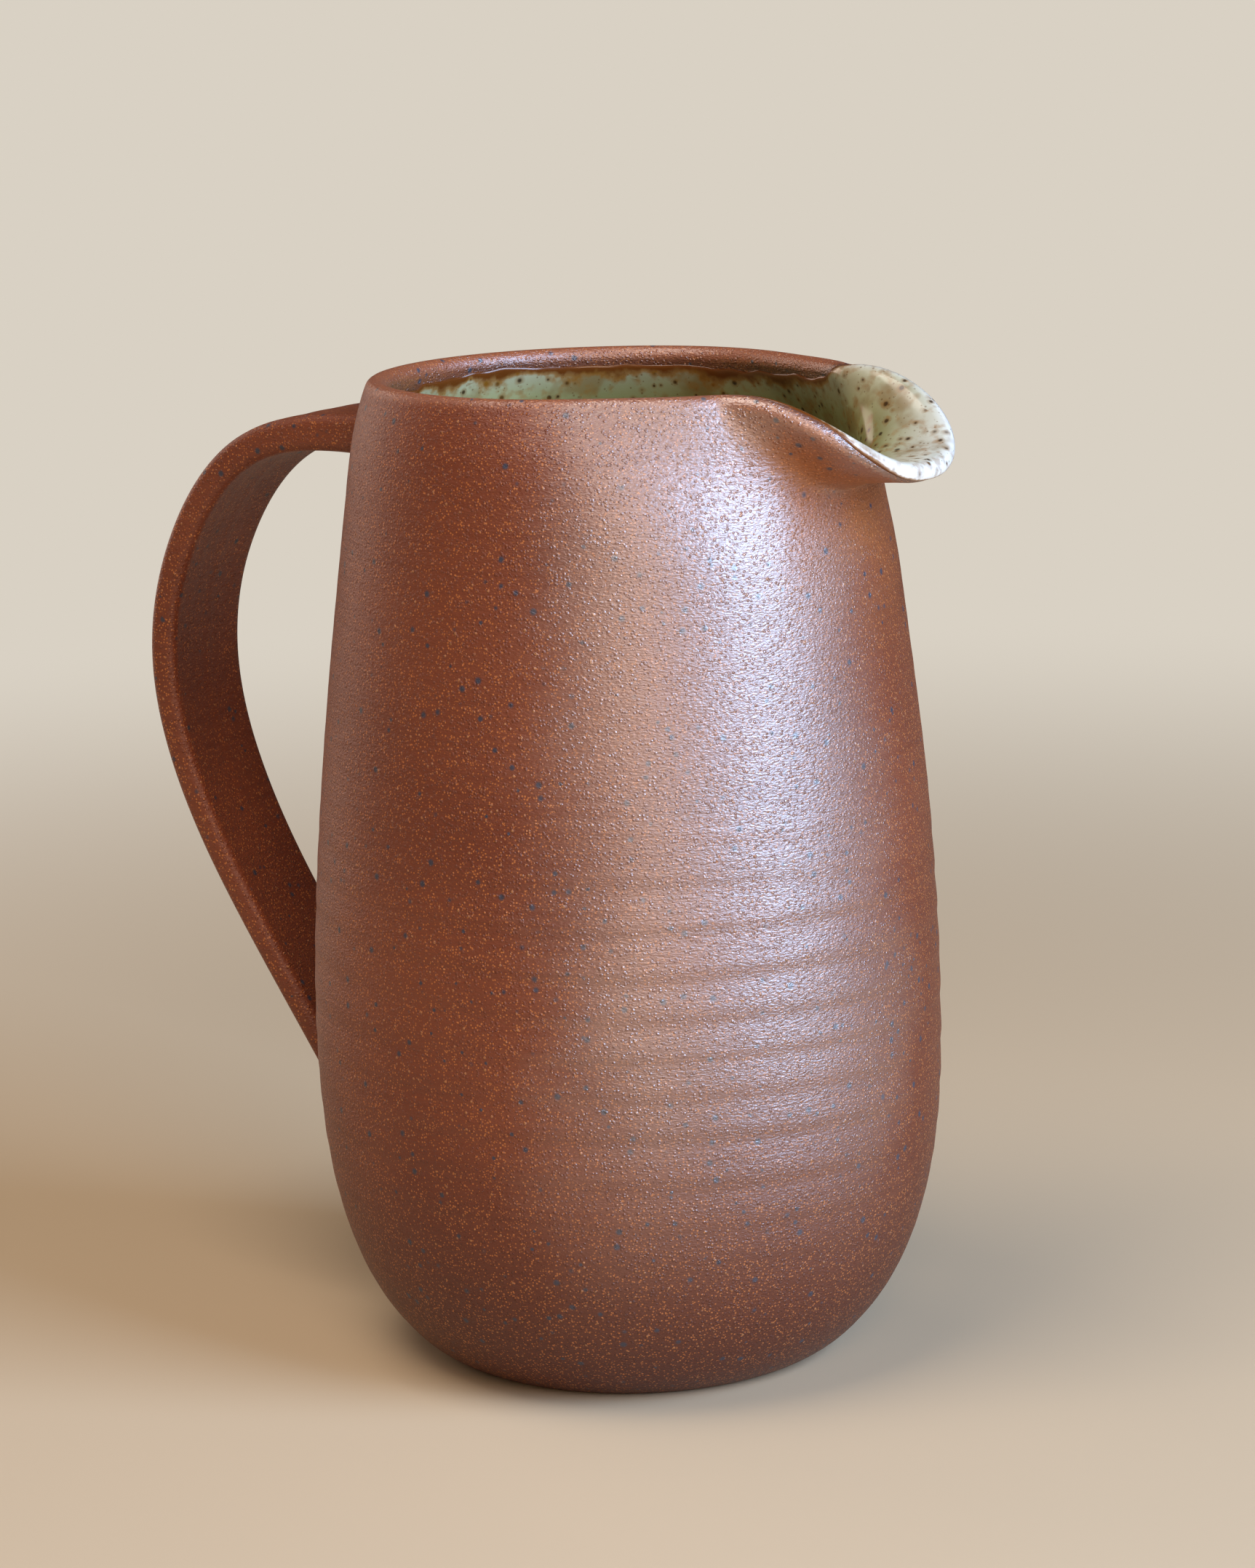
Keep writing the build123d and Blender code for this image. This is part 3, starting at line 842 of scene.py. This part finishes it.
milky = lay_over(tree, "CFCBB8", [
    (cloudy, 1.0, "DDDACC"),
    # olive pooling of the glaze, together with painted shade that darkens it deeper inside the pot
    (pooled_and_shade, 1.0, lay_over(tree, "848552", [(cloudy, 1.0, "A4A672")])),
    (painted_tip_highlight, 1.0, "F3F2EB"),
    (amber, 0.6, "80602C"),
    (grains_of(tree, place, 2.381, 0.66, 0.6), 0.5, "86602C"),
    (grains_of(tree, place, 2.381, 0.34, 0.72), 0.9, "33200F"),
    (grains_of(tree, place, 1.0, 0.34, 0.4), 0.6, "6A4A26"),
    (amber_edge, 1.0, "96641E"),
    (rusty_edge, 1.0, "6B3A14"),
])
tree.links.new(milky, glaze_shader.inputs["Base Color"])
glaze_shader.inputs["Roughness"].default_value = 0.18
glaze_shader.inputs["IOR"].default_value = 1.52
print(f"{liner_glaze.name}: {len(tree.nodes)} nodes")

# %% [markdown]
# Every piece rides on the one body, stands for its node and takes its finish.

# %% Dress the pieces
pieces = {
    "body": thrown_pot,
    "liner_glaze": liner_glaze_coat,
    "handle": strap_handle,
    "upper_handle_joint": upper_collar,
    "lower_handle_joint": lower_collar,
}
for node, piece in pieces.items():
    glazed = node == "liner_glaze"
    piece.data.materials.append(liner_glaze if glazed else bare_stoneware)
    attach(piece, "root")
    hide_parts(node)
    low = [min(vert.co[axis] for vert in piece.data.vertices) for axis in range(3)]
    high = [max(vert.co[axis] for vert in piece.data.vertices) for axis in range(3)]
    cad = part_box(node)
    print(node, "sticks out of its node by mm:",
          [round(1000 * (cad[0][i] - low[i]), 2) for i in range(3)],
          [round(1000 * (high[i] - cad[1][i]), 2) for i in range(3)])

# %% [markdown]
# A plain pale floor that fades, for the camera alone, into the backdrop's colour, so
# that no horizon line shows. The fade starts a hand's breadth beyond the pot, so the
# pot keeps its shadow.

# %% Floor
backdrop_colour = "D9D1C4"
fade_start, fade_end = 0.25, 0.95
floor_mesh = bmesh.new()
bmesh.ops.create_circle(floor_mesh, cap_ends=True, segments=96, radius=12)
bmesh.ops.recalc_face_normals(floor_mesh, faces=floor_mesh.faces[:])
floor_data = bpy.data.meshes.new("floor")
floor_mesh.to_mesh(floor_data)
floor_mesh.free()
floor = new_piece("floor", floor_data)

floor_surface, tree, floor_shader = new_surface("pale_floor")
floor_shader.inputs["Base Color"].default_value = linear("CFBB9B")
floor_shader.inputs["Roughness"].default_value = 0.85
place = add_node(tree, "ShaderNodeTexCoord", {}, "Object")
from_pot = add_node(tree, "ShaderNodeVectorMath", {0: place}, "Value", operation="LENGTH")
faded = add_node(tree, "ShaderNodeMapRange", {0: from_pot, 1: fade_start, 2: fade_end}, **smooth)
seen_straight = add_node(tree, "ShaderNodeLightPath", {}, "Is Camera Ray")
faded = add_node(tree, "ShaderNodeMath", {0: faded, 1: seen_straight}, operation="MULTIPLY")
far_off = add_node(tree, "ShaderNodeEmission", {"Color": backdrop_colour, "Strength": 1.0})
blended = add_node(tree, "ShaderNodeMixShader", {0: faded, 1: floor_shader.outputs["BSDF"], 2: far_off})
tree.links.new(blended, tree.nodes["Material Output"].inputs["Surface"])
floor_data.materials.append(floor_surface)
print(f"the floor fades out between {fade_start} m and {fade_end} m from the pot")

# %% [markdown]
# The camera stands a metre away, a little above the rim, and looks slightly down
# through a long lens, which keeps the pot's sides from leaning.

# %% Camera
camera_distance = 0.97731
camera_height = 0.32665
camera_turn = radians(30)
look_aside = 0.000807
look_down = 0.203172
lean = 0.023131
camera_data = bpy.data.cameras.new("camera")
camera_data.lens = 105
camera_data.sensor_width = 36
camera = new_piece("camera", camera_data)
stand = Vector((camera_distance * sin(camera_turn), -camera_distance * cos(camera_turn), camera_height))
pan = Matrix.Rotation(camera_turn - look_aside, 4, "Z")
tilt = Matrix.Rotation(pi / 2 - look_down, 4, "X")
roll = Matrix.Rotation(-lean, 4, "Z")
camera.matrix_world = Matrix.Translation(stand) @ pan @ tilt @ roll
bpy.context.scene.camera = camera
print(f"camera {camera_distance:.2f} m away, {camera_height:.2f} m up")


# %% [markdown]
# Four softboxes. A large cool one by the spout stands for a window and draws the
# broad satin band down the pot. A small warm one beside the camera keeps the near
# side open, one behind on the left warms the handle, and one overhead lights the rim.

# %% Lights
aim_height = 0.11


def softbox(name, azimuth, distance, height, width, tall, watts, colour):
    """A rectangular lamp round the pot, aimed at its belly: angles in degrees, sizes in metres."""
    data = bpy.data.lights.new(name, "AREA")
    data.shape = "RECTANGLE"
    data.size, data.size_y = width, tall
    data.energy = watts
    data.color = linear(colour)[:3]
    lamp = new_piece(name, data)
    spot = Vector((distance * cos(radians(azimuth)), distance * sin(radians(azimuth)), height))
    aim = (Vector((0, 0, aim_height)) - spot).to_track_quat("-Z", "Y").to_matrix().to_4x4()
    lamp.matrix_world = Matrix.Translation(spot) @ aim
    print(f"{name}: {watts} W")


softbox("window_softbox", -3, 1.2, 0.68, 0.75, 0.9, 28, "BCD8FF")
softbox("room_softbox", -52, 1.3, 0.65, 0.5, 0.9, 6.5, "FFE0C8")
softbox("back_left_softbox", 168, 1.5, 0.45, 0.9, 0.9, 6, "FFE6D6")
softbox("top_softbox", -110, 0.6, 1.5, 0.8, 0.8, 12, "FFF0E4")

# %% [markdown]
# The world adds a breath of warm light from all round. The camera alone sees the
# backdrop's colour in its place.

# %% World
world = bpy.data.worlds.new("studio")
bpy.context.scene.world = world
world.use_nodes = True
tree = world.node_tree
room_light = tree.nodes["Background"]
room_light.inputs["Color"].default_value = linear("FFF4EA")
room_light.inputs["Strength"].default_value = 0.05
backdrop = add_node(tree, "ShaderNodeBackground", {"Color": backdrop_colour, "Strength": 1.0})
camera_ray = add_node(tree, "ShaderNodeLightPath", {}, "Is Camera Ray")
lit_from = room_light.outputs["Background"]
mixed = add_node(tree, "ShaderNodeMixShader", {0: camera_ray, 1: lit_from, 2: backdrop})
tree.links.new(mixed, tree.nodes["World Output"].inputs["Surface"])
bpy.context.scene.view_settings.view_transform = "Standard"
print("world:", len(tree.nodes), "nodes")
